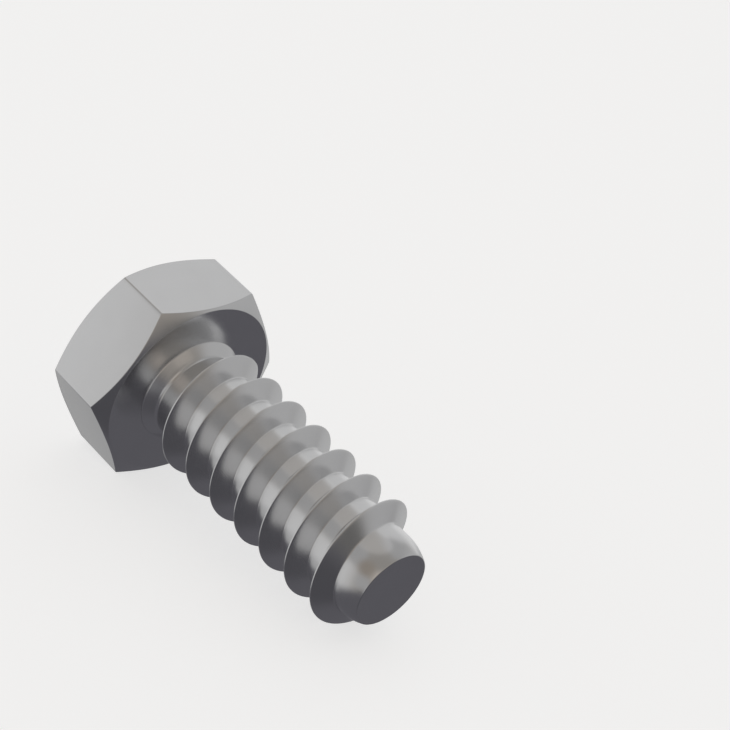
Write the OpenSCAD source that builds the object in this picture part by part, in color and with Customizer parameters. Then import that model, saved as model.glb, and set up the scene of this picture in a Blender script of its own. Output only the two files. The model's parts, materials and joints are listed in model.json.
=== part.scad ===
// Hexagon head self-tapping screw, lying at rest on one flat of its head and its last thread.
// The origin is the centre of the bearing face, +X runs towards the tip and +Z points up.

/* [Head] */
// Width across the flats of the hexagon
across_flats = 8; // [6.6:0.1:13]
// Height of the head, from the bearing face to the top
head_h = 3.36; // [2.4:0.02:7]
// How far the bearing circle lies inside the flats
bearing_inset = 0.1; // [0.04:0.02:0.3]
// How far the circle on top of the head lies inside the flats
top_inset = 0.15; // [0.04:0.01:0.5]
// Angle of the chamfers that take the corners off on both sides
chamfer_angle = 30; // [15:1:35]

/* [Shank] */
// Length from the bearing face to the flat end
shank_l = 12.65; // [9:0.05:40]
// Diameter of the core, at the bottom of the thread
core_d = 3.8; // [3:0.05:4.2]
// How far the neck under the head stands out from the core
neck_flare = 0.48; // [0.2:0.02:0.8]
// Length of the neck, from the bearing face to the core
neck_l = 0.6; // [0.3:0.02:1.2]
// Length of the straight rim where the neck meets the bearing face
neck_rim = 0.1; // [0.02:0.02:0.2]

/* [Thread] */
// Diameter over the crests
thread_d = 5.3; // [4.8:0.05:6]
// Distance between neighbouring crests
pitch = 1.545; // [1.4:0.005:2]
// Angle between the two flanks of the thread
thread_angle = 60; // [40:1:62]
// Width of the narrow flat along the crest
crest_flat = 0.05; // [0.03:0.01:0.12]
// Distance from the bearing face to the start of the thread
thread_start = 0.64; // [0.5:0.01:3]
// Distance from the last full crest to the rounded taper
thread_gap = 0.1; // [0:0.02:1]
// Turns over which the thread rises to its full height under the head
run_in_turns = 0.7; // [0.2:0.05:1.5]
// Turns over which the thread fades away at the tip
run_out_turns = 0.1; // [0.05:0.05:0.5]

/* [Tip] */
// How far the edge of the flat end lies inside the core
tip_inset = 0.25; // [0.1:0.01:0.5]
// Length of the rounded taper from the core to the flat end
tip_l = 1.05; // [0.6:0.05:2]
// Radius of the edge around the flat end
tip_edge = 0.06; // [0.02:0.01:0.15]

/* [Hidden] */

// Faces in a full circle, and on the body that chamfers the head, which the ground side rests on
circle_fn = 96;
chamfer_fn = 240;
// Points along a rounded stretch of an outline
arc_steps = 6;
// Sections in each turn of the thread, and how deep its foot is set into the core
turn_steps = 40;
foot_depth = 0.12;

flat_r = across_flats / 2;
hex_r = flat_r / cos(30);
bearing_r = flat_r - bearing_inset;
top_r = flat_r - top_inset;
core_r = core_d / 2;
thread_r = thread_d / 2;

// The rounded taper is an arc that starts in line with the core, and a smaller arc ends it in the flat end
tip_start = shank_l - tip_l;
taper_r = (tip_l ^ 2 + tip_inset ^ 2) / (2 * tip_inset);
taper_centre = [core_r - taper_r, tip_start];
edge_centre = [
    taper_centre.x + sqrt((taper_r - tip_edge) ^ 2 - (tip_l - tip_edge) ^ 2),
    shank_l - tip_edge
];
edge_angle = asin((tip_l - tip_edge) / (taper_r - tip_edge));

// The foot of the thread lies inside the core, and its crest starts and ends there too
foot_r = core_r - foot_depth;
buried_r = core_r - foot_depth / 2;
foot_half = crest_flat / 2 + (thread_r - foot_r) * tan(thread_angle / 2);
full_turns = (tip_start - thread_gap - thread_start) / pitch;
thread_turns = full_turns + run_out_turns;

// The screw rests on the bearing side of one flat and on the last full crest that faces the ground,
// where the sections of the thread lie half a step to both sides of the lowest line
flat_end = -bearing_inset * tan(chamfer_angle);
last_crest = thread_start + floor(full_turns) * pitch + crest_flat / 2;
rest_tilt = atan((flat_r - thread_r * cos(180 / turn_steps)) / (last_crest - flat_end));

steel = "#98989a";

// Points of an arc in a plane of radius and height
function arc(centre, r, from, to) =
    [for (i = [0:arc_steps])
        let (a = from + (to - from) * i / arc_steps)
        centre + r * [cos(a), sin(a)]];

// Height of the thread at a number of turns from its start, as a share of its full height
function rise(t) = min(1, t / run_in_turns, (thread_turns - t) / run_out_turns);

// Cross-section of the thread at a number of turns from its start
function thread_section(t) =
    let (crest_r = buried_r + (thread_r - buried_r) * rise(t))
    let (outline = [
        [foot_r, -foot_half],
        [crest_r, -crest_flat / 2],
        [crest_r, crest_flat / 2],
        [foot_r, foot_half]
    ])
    [for (p = outline) [p.x * cos(360 * t), p.x * sin(360 * t), thread_start + t * pitch + p.y]];

// Hexagonal prism with its corners taken off on both sides
module head() {
    top_drop = (hex_r - top_r) * tan(chamfer_angle);
    bearing_drop = (hex_r - bearing_r) * tan(chamfer_angle);
    intersection() {
        translate([0, 0, -head_h])
            rotate(30)
                cylinder(h = head_h, r = hex_r, $fn = 6);
        hull()
            rotate_extrude($fn = chamfer_fn)
                polygon([
                    [0, -head_h],
                    [top_r, -head_h],
                    [hex_r, top_drop - head_h],
                    [hex_r, -bearing_drop],
                    [bearing_r, 0],
                    [0, 0]
                ]);
    }
}

// Neck, core, rounded taper and flat end, turned about the axis
module shank() {
    neck_r = core_r + neck_flare;
    rotate_extrude($fn = circle_fn)
        polygon(concat(
            [[0, -head_h / 2], [neck_r, -head_h / 2], [neck_r, neck_rim], [core_r, neck_l]],
            arc(taper_centre, taper_r, 0, edge_angle),
            arc(edge_centre, tip_edge, edge_angle, 90),
            [[0, shank_l]]
        ));
}

// Single right-hand thread, one closed ridge that winds around the core
module thread() {
    last = ceil(thread_turns * turn_steps + 0.5);
    corners = len(thread_section(0));
    points = [for (i = [0:last])
        each thread_section(min(max(i - 0.5, 0) / turn_steps, thread_turns))];
    sides = [for (i = [0:last - 1], j = [0:corners - 1])
        let (a = i * corners + j, b = i * corners + (j + 1) % corners)
        each [[a, b, b + corners], [a, b + corners, a + corners]]];
    start_cap = [for (j = [corners - 1:-1:0]) j];
    end_cap = [for (j = [0:corners - 1]) last * corners + j];
    polyhedron(points, concat([start_cap], sides, [end_cap]), convexity = 10);
}

module screw() {
    color(steel)
        rotate([0, 90 + rest_tilt, 0])
            union() {
                head();
                shank();
                thread();
            }
}

screw();
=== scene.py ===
import json
import math

import bpy
from mathutils import Matrix, Vector


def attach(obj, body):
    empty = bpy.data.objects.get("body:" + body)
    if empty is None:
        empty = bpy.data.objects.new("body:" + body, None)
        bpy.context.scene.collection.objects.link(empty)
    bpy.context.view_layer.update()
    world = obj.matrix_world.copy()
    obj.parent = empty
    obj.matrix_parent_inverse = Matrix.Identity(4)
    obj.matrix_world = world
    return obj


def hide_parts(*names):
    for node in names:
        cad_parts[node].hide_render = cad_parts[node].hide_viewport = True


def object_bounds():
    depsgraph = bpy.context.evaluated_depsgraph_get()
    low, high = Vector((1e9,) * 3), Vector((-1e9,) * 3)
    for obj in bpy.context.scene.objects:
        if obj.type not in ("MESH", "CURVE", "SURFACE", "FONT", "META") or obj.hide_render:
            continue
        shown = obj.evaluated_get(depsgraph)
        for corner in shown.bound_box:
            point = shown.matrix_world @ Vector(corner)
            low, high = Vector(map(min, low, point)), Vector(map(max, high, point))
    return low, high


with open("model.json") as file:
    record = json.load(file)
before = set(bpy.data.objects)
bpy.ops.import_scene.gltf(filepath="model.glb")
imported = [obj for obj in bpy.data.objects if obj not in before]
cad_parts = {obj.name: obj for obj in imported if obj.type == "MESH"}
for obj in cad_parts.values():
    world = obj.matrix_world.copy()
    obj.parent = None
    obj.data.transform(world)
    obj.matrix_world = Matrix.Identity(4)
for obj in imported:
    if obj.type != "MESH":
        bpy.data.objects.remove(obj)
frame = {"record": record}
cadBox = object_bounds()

# The screw is modelled upright in millimetres: the bearing face at height 0, the tip upwards.
# At the end it is laid down along the axis that the frame's record gives, and scaled to metres.
millimetre = 0.001
screwAxis = Vector(frame["record"]["mounts"][0]["axis"])
floorHeight = cadBox[0].z
coreRadius = 1.9  # where the neck ends and the shank goes on


def deselectAll():
    if bpy.context.object and bpy.context.object.mode == "EDIT":
        bpy.ops.object.mode_set(mode="OBJECT")
    bpy.ops.object.select_all(action="DESELECT")


def makeActive(obj):
    deselectAll()
    obj.select_set(True)
    bpy.context.view_layer.objects.active = obj


def editAll(obj):
    makeActive(obj)
    bpy.ops.object.mode_set(mode="EDIT")
    bpy.ops.mesh.select_all(action="SELECT")


def selectFaces(obj, wanted):
    # picks the faces by their place or normal, then goes back to edit mode
    bpy.ops.mesh.select_all(action="DESELECT")
    bpy.ops.object.mode_set(mode="OBJECT")
    for face in obj.data.polygons:
        face.select = wanted(face)
    bpy.ops.object.mode_set(mode="EDIT")


def applyModifier(obj, kind, **settings):
    makeActive(obj)
    modifier = obj.modifiers.new(kind.lower(), kind)
    for name, value in settings.items():
        setattr(modifier, name, value)
    bpy.ops.object.modifier_apply(modifier=modifier.name)


def directionTo(azimuth, elevation):
    # degrees, the azimuth from +X towards +Y
    around, up = math.radians(azimuth), math.radians(elevation)
    return Vector((math.cos(around) * math.cos(up), math.sin(around) * math.cos(up), math.sin(up)))


# Head and neck: a stack of rings from the top of the head to the end of the neck. They are pressed
# to the outline of the chamfered hexagon, so the arcs between chamfers and flats run along them.

headSpec = {
    "acrossFlats": 8.0,
    "height": 3.36,
    "bearingInset": 0.1,  # bearing circle inside the flats
    "topInset": 0.15,  # circle on top inside the flats
    "chamferAngle": 30.0,
    "cornerRound": 0.09,  # along the six edges between the flats
    "edgeRound": 0.035,
    "edgeSegments": 4,
    "flatColumns": 42,  # columns of faces on one flat
    "cornerColumns": 6,
    "faceRings": (1.2, 2.2, 3.1),  # radii of the rings on the top
    "bearingRings": (3.6, 3.2, 2.7),  # and on the bearing face
}
neckSpec = {
    "radius": 2.36,
    "edgeRadius": 0.06,
    "filletRadius": 0.25,
    "slope": 50.0,  # of the flare's middle, from the axis
    "overlap": 0.004,  # how far the fillet ends under the core's surface
    "edgeRows": 6,
    "filletRows": 12,
}
halfSide = math.radians(30)  # half of the angle that one flat of the hexagon takes up


def roundedCorner(before, corner, after, radius, segments):
    # points of the small arc that rounds a corner of an outline
    corner = Vector(corner)
    back, on = (Vector(before) - corner).normalized(), (Vector(after) - corner).normalized()
    half = back.angle(on) / 2
    centre = corner + (back + on).normalized() * radius / math.sin(half)
    first = corner + back * radius / math.tan(half) - centre
    last = corner + on * radius / math.tan(half) - centre
    return [centre + first.slerp(last, i / segments).normalized() * radius
            for i in range(segments + 1)]


def neckOutline(neck):
    # from the edge at the bearing face to the end of the fillet, under the core's surface
    edge, fillet, slope = neck["edgeRadius"], neck["filletRadius"], math.radians(neck["slope"])
    drop = neck["radius"] - coreRadius + neck["overlap"]
    straight = (drop - (edge + fillet) * (1 - math.cos(slope))) / math.sin(slope)
    height = (edge + fillet) * math.sin(slope) + straight * math.cos(slope)
    points = []
    for i in range(neck["edgeRows"] + 1):
        angle = slope * i / neck["edgeRows"]
        points.append((neck["radius"] - edge * (1 - math.cos(angle)), edge * math.sin(angle)))
    for i in range(neck["filletRows"] + 1):
        angle = slope * (1 - i / neck["filletRows"])
        radius = neck["radius"] - drop + fillet * (1 - math.cos(angle))
        points.append((radius, height - fillet * math.sin(angle)))
    return points


def headColumns(head):
    # angle of each column, and the radius of the rounded hexagon there
    flatRadius, corner = head["acrossFlats"] / 2, head["cornerRound"]
    centre = (flatRadius - corner) / math.cos(halfSide)
    reach = math.atan2(corner / 2, centre + corner * math.cos(halfSide))
    cornerSteps, flatSteps = head["cornerColumns"] - 1, head["flatColumns"] + 1
    columns = []
    for side in range(6):
        cornerAngle = (2 * side - 1) * halfSide
        for i in range(head["cornerColumns"]):
            away = reach * (2 * i / cornerSteps - 1)
            rounding = math.sqrt(corner ** 2 - (centre * math.sin(away)) ** 2)
            columns.append((cornerAngle + away, centre * math.cos(away) + rounding))
        for i in range(1, flatSteps):
            away = reach + 2 * (halfSide - reach) * i / flatSteps
            columns.append((cornerAngle + away, flatRadius / math.cos(halfSide - away)))
    return columns


def headOutline(radius, head, neck):
    # radius and height of each ring, where the hexagon has this radius
    slope = math.tan(math.radians(head["chamferAngle"]))
    topRadius = head["acrossFlats"] / 2 - head["topInset"]
    bearingRadius = head["acrossFlats"] / 2 - head["bearingInset"]
    height = head["height"]
    corners = [
        (0, -height),
        (topRadius, -height),
        (radius, (radius - topRadius) * slope - height),
        (radius, (bearingRadius - radius) * slope),
        (bearingRadius, 0),
        (0, 0),
    ]
    points = [(ring, -height) for ring in head["faceRings"]]
    for before, corner, after in zip(corners, corners[1:], corners[2:]):
        points += roundedCorner(before, corner, after, head["edgeRound"], head["edgeSegments"])
    points += [(ring, 0) for ring in head["bearingRings"]]
    return points + neckOutline(neck)


def buildHead(head, neck):
    columns = headColumns(head)
    outlines = [headOutline(column[1], head, neck) for column in columns]
    bpy.ops.mesh.primitive_circle_add(vertices=len(columns), radius=1, fill_type="NGON",
                                      location=(0, 0, 0))
    piece = bpy.context.object
    piece.name = "hexHead"
    # drawn up by one for each ring, so that a vertex's height is the number of its ring
    editAll(piece)
    for ring in range(1, len(outlines[0])):
        bpy.ops.mesh.extrude_region_move(TRANSFORM_OT_translate={"value": (0, 0, 1)})
    bpy.ops.object.mode_set(mode="OBJECT")
    for vertex in piece.data.vertices:
        turn = math.atan2(vertex.co.y, vertex.co.x) / math.tau
        column = round(turn * len(columns)) % len(columns)
        angle = columns[column][0]
        radius, height = outlines[column][round(vertex.co.z)]
        vertex.co = (radius * math.cos(angle), radius * math.sin(angle), height)
    editAll(piece)
    bpy.ops.mesh.normals_make_consistent(inside=False)
    bpy.ops.object.mode_set(mode="OBJECT")
    print("head and neck done,", len(piece.data.polygons), "faces")
    return piece


# Shank: one pitch of rows wound up the axis, then pressed to the shape of core, thread and taper

shankSpec = {
    "length": 12.65,
    "taperLength": 1.05,
    "taperInset": 0.25,
    "endRound": 0.06,
    "buriedLength": 1.2,  # reaches into the head
    "ringedLength": 0.42,  # the last stretch, which is drawn out in rings
    "taperRows": 8,
    "endRows": 5,
    "mergeDistance": 0.001,
}
threadSpec = {
    "crestRadius": 2.64,
    "pitch": 1.545,
    "start": 0.64,  # from the bearing face
    "gap": 0.1,  # from the last full crest to the taper
    "flankAngle": 30.0,
    "crestFlat": 0.042,
    "crestRound": 0.01,
    "rootFillet": 0.025,
    "footDepth": 0.12,
    "runInTurns": 0.35,
    "runOutTurns": 0.1,
    "stepsPerTurn": 144,
    # rows of vertices on one side of the crest, as distances along the axis
    "rows": (0, 0.016, 0.021, 0.027, 0.036, 0.065, 0.14, 0.23, 0.32, 0.39, 0.425, 0.44, 0.45, 0.46,
             0.475, 0.5, 0.55, 0.65, 0.7725),
}


def smoothMax(a, b, width):
    # the larger of two heights, with a rounded inner corner
    near = max(width - abs(a - b), 0) / width
    return max(a, b) + near * near * width / 4


def taperArc(shank):
    # radius of the arc that starts in line with the core and bends in by the inset
    inset, length = shank["taperInset"], shank["taperLength"]
    return (length ** 2 + inset ** 2) / (2 * inset)


def bodyRadius(z, shank):
    beyond = z - (shank["length"] - shank["taperLength"])
    if beyond < 0:
        return coreRadius
    arc = taperArc(shank)
    return coreRadius - arc + math.sqrt(arc ** 2 - min(beyond, arc) ** 2)


def taperSteps(shank, start):
    # radius and height of each ring: first along the taper's arc, then round the small edge
    arc, length, edge = taperArc(shank), shank["taperLength"], shank["endRound"]
    edgeRadius = coreRadius - arc + math.sqrt((arc - edge) ** 2 - (length - edge) ** 2)
    edgeAngle = math.asin((length - edge) / (arc - edge))
    edgeHeight = shank["length"] - edge
    tangent = edgeHeight + edge * math.sin(edgeAngle)
    steps = []
    for i in range(1, shank["taperRows"] + 1):
        z = start + (tangent - start) * i / shank["taperRows"]
        steps.append((bodyRadius(z, shank), z))
    for i in range(1, shank["endRows"] + 1):
        angle = edgeAngle + (math.pi / 2 - edgeAngle) * i / shank["endRows"]
        steps.append((edgeRadius + edge * math.cos(angle), edgeHeight + edge * math.sin(angle)))
    return steps


def ridgeRadius(z, angle, thread, shank):
    crest, pitch, rounding = thread["crestRadius"], thread["pitch"], thread["crestRound"]
    fullTurns = (shank["length"] - shank["taperLength"] - thread["gap"] - thread["start"]) / pitch
    turn = angle / math.tau
    # turns from the start of the thread to the crest beside this point
    turns = round((z - thread["start"]) / pitch - turn) + turn
    offset = z - thread["start"] - turns * pitch
    rise = min(1, turns / thread["runInTurns"],
               (fullTurns + thread["runOutTurns"] - turns) / thread["runOutTurns"])
    if rise <= 0:
        return 0
    steep = 1 / math.tan(math.radians(thread["flankAngle"]))
    foot = coreRadius - thread["footDepth"]
    beside = max(abs(offset) - thread["crestFlat"] / 2, 0)
    fullHeight = crest - foot + steep * (rounding - math.hypot(beside, rounding))
    buried = coreRadius - thread["footDepth"] / 2
    share = (buried + (crest - buried) * rise - foot) / (crest - foot)
    return foot + fullHeight * share


def shankRadius(z, angle, thread, shank):
    body, ridge = bodyRadius(z, shank), ridgeRadius(z, angle, thread, shank)
    return smoothMax(body, ridge, thread["rootFillet"])


def buildShank(shank, thread):
    pitch = thread["pitch"]
    rows = [-x for x in reversed(thread["rows"])] + list(thread["rows"][1:])
    lowEnd, highEnd = -shank["buriedLength"], shank["length"] - shank["ringedLength"]
    firstRow = thread["start"] - pitch * (math.ceil((thread["start"] - lowEnd) / pitch) + 1)
    windings = math.ceil((highEnd - firstRow) / pitch) + 1

    # a plane merged to one vertex, which is drawn out into the rows of one pitch
    bpy.ops.mesh.primitive_plane_add(size=0.1, location=(0, 0, 0))
    body = bpy.context.object
    body.name = "screw_steel"
    editAll(body)
    bpy.ops.mesh.merge(type="CENTER")
    bpy.ops.mesh.select_all(action="SELECT")
    bpy.ops.transform.translate(value=(thread["crestRadius"], 0, firstRow + rows[0]))
    for low, high in zip(rows, rows[1:]):
        bpy.ops.mesh.extrude_vertices_move(TRANSFORM_OT_translate={"value": (0, 0, high - low)})
    bpy.ops.object.mode_set(mode="OBJECT")
    applyModifier(body, "SCREW", axis="Z", angle=math.tau, screw_offset=pitch, iterations=windings,
                  steps=thread["stepsPerTurn"], render_steps=thread["stepsPerTurn"])
    editAll(body)
    bpy.ops.mesh.remove_doubles(threshold=shank["mergeDistance"])
    bpy.ops.object.mode_set(mode="OBJECT")
    for vertex in body.data.vertices:
        x, y, z = vertex.co
        angle = math.atan2(y, x)
        radius = shankRadius(z, angle, thread, shank)
        vertex.co = (radius * math.cos(angle), radius * math.sin(angle), z)

    # both ends are cut square and closed
    editAll(body)
    bpy.ops.mesh.bisect(plane_co=(0, 0, lowEnd), plane_no=(0, 0, 1), use_fill=True,
                        clear_inner=True)
    bpy.ops.mesh.select_all(action="SELECT")
    bpy.ops.mesh.bisect(plane_co=(0, 0, highEnd), plane_no=(0, 0, 1), use_fill=True,
                        clear_outer=True)
    # the cut face at the top is drawn out along the taper and round the edge of the flat end
    nearlyTop, nearlyUpright = highEnd - 0.0001, 0.9
    selectFaces(body, lambda face: face.center.z > nearlyTop and abs(face.normal.z) > nearlyUpright)
    radius, height = bodyRadius(highEnd, shank), highEnd
    for nextRadius, nextHeight in taperSteps(shank, highEnd):
        rise, share = nextHeight - height, nextRadius / radius
        bpy.ops.mesh.extrude_region_move(TRANSFORM_OT_translate={"value": (0, 0, rise)})
        bpy.ops.transform.resize(value=(share, share, 1), center_override=(0, 0, nextHeight))
        radius, height = nextRadius, nextHeight
    bpy.ops.mesh.select_all(action="SELECT")
    bpy.ops.mesh.normals_make_consistent(inside=False)
    bpy.ops.object.mode_set(mode="OBJECT")
    print("shank done,", len(body.data.polygons), "faces")
    return body


# Screw: the head and the shank joined, laid down and shaded

screwSpec = {
    "mergeDistance": 0.0005,
    "sharpAngle": 25,  # edges above this angle stay sharp
    "normalWeight": 80,
}


def buildScrew(spec):
    head = buildHead(headSpec, neckSpec)
    screw = buildShank(shankSpec, threadSpec)
    applyModifier(screw, "BOOLEAN", operation="UNION", object=head, solver="EXACT")
    bpy.data.objects.remove(head)
    editAll(screw)
    bpy.ops.mesh.remove_doubles(threshold=spec["mergeDistance"])
    bpy.ops.mesh.normals_make_consistent(inside=False)
    bpy.ops.object.mode_set(mode="OBJECT")

    # laid down along its axis, and from millimetres to metres
    dip = math.asin(-screwAxis.z)
    screw.rotation_euler = (0, math.pi / 2 + dip, 0)
    screw.scale = (millimetre, millimetre, millimetre)
    makeActive(screw)
    bpy.ops.object.transform_apply(location=True, rotation=True, scale=True)
    bpy.ops.object.shade_smooth_by_angle(angle=math.radians(spec["sharpAngle"]))
    applyModifier(screw, "WEIGHTED_NORMAL", keep_sharp=True, weight=spec["normalWeight"])
    print("screw done,", len(screw.data.polygons), "faces")
    return screw


# Finish: satin plain steel

steelSpec = {
    "colour": (0.7, 0.7, 0.705),
    "colourSpread": 0.03,
    "roughness": 0.22,
    "roughnessSpread": 0.02,
    "patchScale": 900.0,  # per metre
    "patchDetail": 3.0,
    "grainScale": 24000.0,
    "grainDetail": 2.0,
    "grainRange": (0.3, 0.7),  # most of the grain's noise lies between these
    "grainHeight": 0.0000001,  # metres
}


def addNode(tree, kind, place, **values):
    node = tree.nodes.new(kind)
    node.location = place
    for name, value in values.items():
        if name in node.inputs:
            node.inputs[name].default_value = value
        else:
            setattr(node, name, value)
    return node


def steelMaterial(spec):
    material = bpy.data.materials.new("satinSteel")
    material.use_nodes = True
    tree = material.node_tree
    tree.nodes.clear()
    link = tree.links.new
    output = addNode(tree, "ShaderNodeOutputMaterial", (900, 0))
    shader = addNode(tree, "ShaderNodeBsdfPrincipled", (600, 0), Metallic=1.0)
    coords = addNode(tree, "ShaderNodeTexCoord", (-900, 0))
    patches = addNode(tree, "ShaderNodeTexNoise", (-600, 200), Scale=spec["patchScale"],
                      Detail=spec["patchDetail"])
    grain = addNode(tree, "ShaderNodeTexNoise", (-600, -200), Scale=spec["grainScale"],
                    Detail=spec["grainDetail"])
    link(coords.outputs["Object"], patches.inputs["Vector"])
    link(coords.outputs["Object"], grain.inputs["Vector"])

    tint = addNode(tree, "ShaderNodeMixRGB", (0, 200), blend_type="MIX")
    low = [x * (1 - spec["colourSpread"]) for x in spec["colour"]]
    high = [x * (1 + spec["colourSpread"]) for x in spec["colour"]]
    tint.inputs[1].default_value = (*low, 1)
    tint.inputs[2].default_value = (*high, 1)
    link(patches.outputs["Fac"], tint.inputs[0])
    link(tint.outputs[0], shader.inputs["Base Color"])

    satin = addNode(tree, "ShaderNodeMapRange", (0, -50))
    satin.inputs["From Min"].default_value = spec["grainRange"][0]
    satin.inputs["From Max"].default_value = spec["grainRange"][1]
    satin.inputs["To Min"].default_value = spec["roughness"] - spec["roughnessSpread"]
    satin.inputs["To Max"].default_value = spec["roughness"] + spec["roughnessSpread"]
    link(grain.outputs["Fac"], satin.inputs["Value"])
    link(satin.outputs["Result"], shader.inputs["Roughness"])

    bump = addNode(tree, "ShaderNodeBump", (300, -300), Strength=1.0, Distance=spec["grainHeight"])
    link(grain.outputs["Fac"], bump.inputs["Height"])
    link(bump.outputs["Normal"], shader.inputs["Normal"])
    link(shader.outputs["BSDF"], output.inputs["Surface"])
    return material


# Stage: a pale floor, soft light from all round over a dark ground, and an overhead softbox

floorSpec = {
    "size": 2.0,
    "colour": (0.5, 0.5, 0.5),
    "glow": 0.655,  # what the camera sees on top of the light on the floor
}


def buildFloor(spec):
    bpy.ops.mesh.primitive_plane_add(size=spec["size"], location=(0, 0, floorHeight))
    floor = bpy.context.object
    floor.name = "floor"
    bpy.ops.object.transform_apply(location=True)
    material = bpy.data.materials.new("paleFloor")
    material.use_nodes = True
    tree = material.node_tree
    tree.nodes.clear()
    output = addNode(tree, "ShaderNodeOutputMaterial", (600, 0))
    paint = addNode(tree, "ShaderNodeBsdfDiffuse", (0, 100), Color=(*spec["colour"], 1))
    glow = addNode(tree, "ShaderNodeEmission", (0, -100), Color=(1, 1, 1, 1))
    path = addNode(tree, "ShaderNodeLightPath", (-800, -100))
    first = addNode(tree, "ShaderNodeMath", (-600, -100), operation="MAXIMUM")
    second = addNode(tree, "ShaderNodeMath", (-400, -100), operation="MAXIMUM")
    strength = addNode(tree, "ShaderNodeMath", (-200, -100), operation="MULTIPLY")
    strength.inputs[1].default_value = spec["glow"]
    both = addNode(tree, "ShaderNodeAddShader", (300, 0))
    link = tree.links.new
    link(path.outputs["Is Camera Ray"], first.inputs[0])
    link(path.outputs["Is Glossy Ray"], first.inputs[1])
    link(first.outputs[0], second.inputs[0])
    link(path.outputs["Is Transmission Ray"], second.inputs[1])
    link(second.outputs[0], strength.inputs[0])
    link(strength.outputs[0], glow.inputs["Strength"])
    link(paint.outputs[0], both.inputs[0])
    link(glow.outputs[0], both.inputs[1])
    link(both.outputs[0], output.inputs["Surface"])
    floor.data.materials.append(material)
    floor.visible_glossy = False  # the steel shows the dark ground of the studio instead


# Each patch of light has a name, the azimuth and elevation of its middle, the angles off its middle
# between which it fades to what lies under it, and its colour. They are painted in this order.
studioSpec = {
    "background": 0.863,
    "level": 0.81,
    "room": (0.405, 0.375, 0.34),
    "patches": [
        ("back", 175, 0, 56, 124, (0.86, 0.86, 0.86)),
        ("ceiling", 0, 90, 46, 74, (0.405, 0.385, 0.36)),
        ("topRight", 80, 50, 14, 38, (0.51, 0.51, 0.51)),
        ("left", -118, 46, 8, 24, (0.5, 0.5, 0.5)),
        ("lowLeft", -75, 8, 8, 22, (0.52, 0.52, 0.52)),
        ("front", -48, 30, 6, 20, (0.68, 0.62, 0.56)),
        ("frontRight", 0, 26, 8, 18, (0.55, 0.505, 0.455)),
        ("highLeft", -80, 39, 4, 24, (0.375, 0.33, 0.285)),
        ("backRight", 128, 28, 15, 31, (0.82, 0.82, 0.82)),
        ("right", 60, 5, 16, 45, (0.63, 0.63, 0.63)),
        ("window", 110, -4, 9, 22, (0.97, 0.97, 0.97)),
        ("ground", -8, -66, 60, 78, (0.15, 0.147, 0.165)),
        ("shade", -14, -36, 15, 36, (0.105, 0.103, 0.115)),
        ("frontLow", -52, -8, 9, 18, (0.6, 0.6, 0.6)),
        ("shadeRight", 18, -6, 6, 19, (0.145, 0.145, 0.145)),
        ("floorRight", 96, -22, 13, 22, (0.65, 0.65, 0.65)),
        ("floorBack", 114, -34, 5, 13, (0.62, 0.62, 0.62)),
        ("floorFar", 168, -42, 10, 20, (0.52, 0.52, 0.52)),
        ("floorLeft", -140, -27, 9, 20, (0.63, 0.63, 0.63)),
    ],
}


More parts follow.
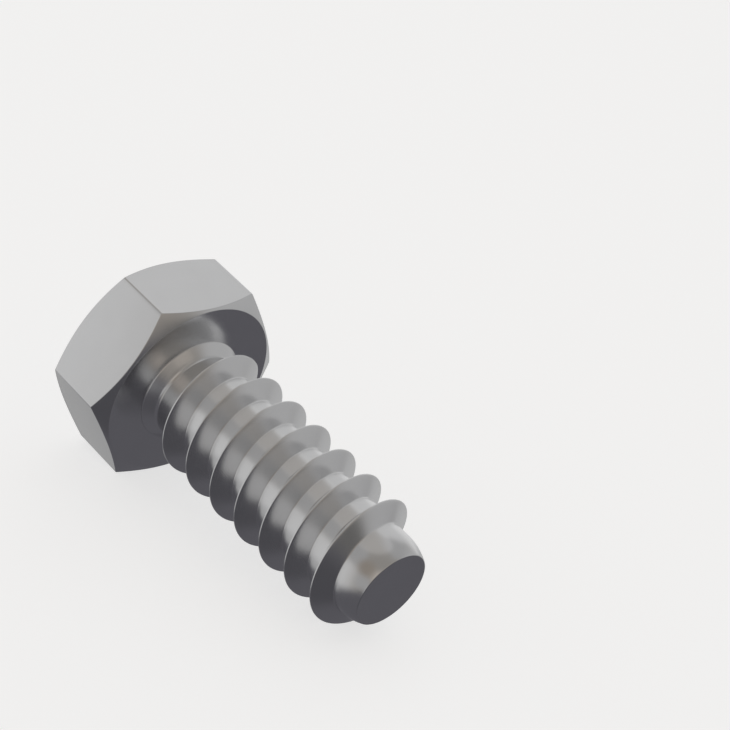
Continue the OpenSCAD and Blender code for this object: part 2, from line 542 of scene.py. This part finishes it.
def buildStudio(spec):
    world = bpy.data.worlds.new("softStudio")
    bpy.context.scene.world = world
    world.use_nodes = True
    tree = world.node_tree
    tree.nodes.clear()
    link = tree.links.new
    coords = addNode(tree, "ShaderNodeTexCoord", (-800, 300))
    room = addNode(tree, "ShaderNodeRGB", (-200, 0))
    room.outputs[0].default_value = (*spec["room"], 1)
    light = room.outputs[0]
    x = 0
    for name, azimuth, elevation, inner, outer, colour in spec["patches"]:
        towards = addNode(tree, "ShaderNodeVectorMath", (x - 400, 300), operation="DOT_PRODUCT")
        towards.inputs[1].default_value = directionTo(azimuth, elevation)
        fade = addNode(tree, "ShaderNodeMapRange", (x - 200, 300), interpolation_type="SMOOTHSTEP")
        fade.inputs["From Min"].default_value = math.cos(math.radians(outer))
        fade.inputs["From Max"].default_value = math.cos(math.radians(inner))
        paint = addNode(tree, "ShaderNodeMixRGB", (x, 0), blend_type="MIX", label=name)
        paint.inputs[2].default_value = (*colour, 1)
        link(coords.outputs["Generated"], towards.inputs[0])
        link(towards.outputs["Value"], fade.inputs["Value"])
        link(fade.outputs["Result"], paint.inputs[0])
        link(light, paint.inputs[1])
        light = paint.outputs[0]
        x += 250

    studio = addNode(tree, "ShaderNodeBackground", (x, 0), Strength=spec["level"])
    link(light, studio.inputs["Color"])
    pale = addNode(tree, "ShaderNodeBackground", (x, -200), Color=(1, 1, 1, 1),
                   Strength=spec["background"])
    path = addNode(tree, "ShaderNodeLightPath", (x, 300))
    choose = addNode(tree, "ShaderNodeMixShader", (x + 250, 0))
    output = addNode(tree, "ShaderNodeOutputWorld", (x + 500, 0))
    link(path.outputs["Is Camera Ray"], choose.inputs[0])
    link(studio.outputs[0], choose.inputs[1])
    link(pale.outputs[0], choose.inputs[2])
    link(choose.outputs[0], output.inputs["Surface"])


softboxSpec = {
    "azimuth": 160,
    "elevation": 72,
    "distance": 200,  # millimetres
    "size": 225,
    "power": 0.0175,
}


def buildSoftbox(spec):
    light = bpy.data.lights.new("overheadSoftbox", "AREA")
    light.shape = "DISK"
    light.size = spec["size"] * millimetre
    light.energy = spec["power"]
    lamp = bpy.data.objects.new("overheadSoftbox", light)
    bpy.context.scene.collection.objects.link(lamp)
    towards = directionTo(spec["azimuth"], spec["elevation"])
    lamp.location = towards * spec["distance"] * millimetre
    lamp.rotation_euler = (-towards).to_track_quat("-Z", "Y").to_euler()


cameraSpec = {
    "place": (48.74, -47.04, 39.21),  # millimetres
    "azimuth": 130.42,  # of the line of sight
    "elevation": -28.22,
    "roll": 14.05,
    "lens": 95.57,
    "sensor": 36,
    "nearest": 0.002,  # metres
    "farthest": 10,
}


def buildCamera(spec):
    data = bpy.data.cameras.new("camera")
    data.lens = spec["lens"]
    data.sensor_width = spec["sensor"]
    data.clip_start = spec["nearest"]
    data.clip_end = spec["farthest"]
    camera = bpy.data.objects.new("camera", data)
    bpy.context.scene.collection.objects.link(camera)
    sight = directionTo(spec["azimuth"], spec["elevation"])
    level = sight.to_track_quat("-Z", "Y").to_matrix().to_4x4()
    rolled = level @ Matrix.Rotation(math.radians(spec["roll"]), 4, "Z")
    rolled.translation = Vector(spec["place"]) * millimetre
    camera.matrix_world = rolled
    bpy.context.scene.camera = camera


screw = buildScrew(screwSpec)
screw.data.materials.clear()
screw.data.materials.append(steelMaterial(steelSpec))
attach(screw, "root")
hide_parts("screw")
print("steel done")
buildFloor(floorSpec)
buildStudio(studioSpec)
buildSoftbox(softboxSpec)
buildCamera(cameraSpec)
bpy.context.scene.view_settings.view_transform = "Standard"
print("stage, lamps and camera done")
